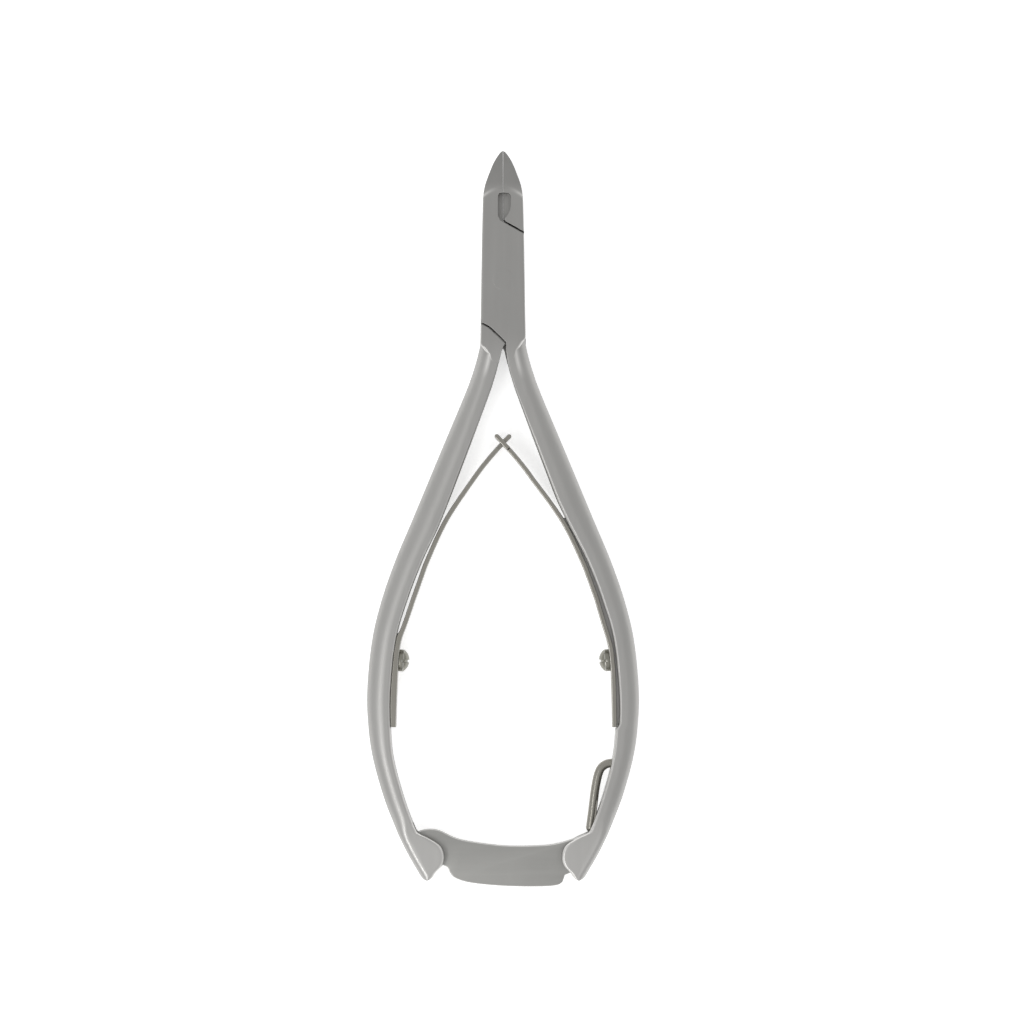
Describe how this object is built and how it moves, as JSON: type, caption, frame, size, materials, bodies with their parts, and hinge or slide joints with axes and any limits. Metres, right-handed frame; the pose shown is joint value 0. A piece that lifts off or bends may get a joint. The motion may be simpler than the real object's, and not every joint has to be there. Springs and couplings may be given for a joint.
{
  "type": "cuticle nipper",
  "caption": "Stainless steel cuticle nipper with a lap joint, pointed jaws, bowed handles, two interlocked leaf springs and a hinged lock bar across the handle ends.",
  "frame": {"origin": "on the joint rivet's axis, in the plane of the rear face that the tool lies on", "axes": "+Y towards the cutting tip, +Z through the thickness towards the front face, +X to the right seen from the front"},
  "size_m": [0.047, 0.127, 0.0064],
  "materials": {
    "satin_steel": "fine satin, lengthwise grain",
    "bar_steel": "satin sheet",
    "spring_steel": "polished strip and wire",
    "fixing_steel": "turned"
  },
  "bodies": {
    "front": {"front_lever": "satin_steel", "joint_rivet": "fixing_steel", "right_spring_foot": "spring_steel", "right_spring_screw": "fixing_steel", "lock_bar_rivet": "fixing_steel"},
    "rear": {"rear_lever": "satin_steel", "left_spring_foot": "spring_steel", "left_spring_screw": "fixing_steel", "catch_pin": "fixing_steel"},
    "left_blade": {"left_spring_blade": "spring_steel"},
    "right_blade": {"right_spring_blade": "spring_steel"},
    "bar": {"lock_bar": "bar_steel"},
    "wire": {"lock_wire_spring": "spring_steel"}
  },
  "joints": [
    {"name": "jaw_pivot", "type": "hinge", "parent": "front", "child": "rear", "pos_m": [0, 0, 0], "axis": [0, 0, -1], "range_deg": [0, 16]},
    {"name": "left_spring_flex", "type": "hinge", "parent": "rear", "child": "left_blade", "pos_m": [-0.01798, -0.0626, 0.0032], "axis": [0, 0, -1], "range_deg": [0, 7.6]},
    {"name": "right_spring_flex", "type": "hinge", "parent": "front", "child": "right_blade", "pos_m": [0.01798, -0.0626, 0.0032], "axis": [0, 0, 1], "range_deg": [0, 7.6]},
    {"name": "lock_bar_pivot", "type": "hinge", "parent": "front", "child": "bar", "pos_m": [0.013, -0.09945, 0.0032], "axis": [0, 0, -1], "range_deg": [0, 60]},
    {"name": "wire_spring_flex", "type": "hinge", "parent": "front", "child": "wire", "pos_m": [0.0192, -0.08302, 0.0032], "axis": [0, 0, 1], "range_deg": [0, 2]}
  ],
  "couplings": [
    {"joint": "left_spring_flex", "follows": "jaw_pivot", "ratio": 0.465},
    {"joint": "right_spring_flex", "follows": "jaw_pivot", "ratio": 0.465},
    {"joint": "wire_spring_flex", "follows": "lock_bar_pivot", "ratio": 0.03}
  ]
}
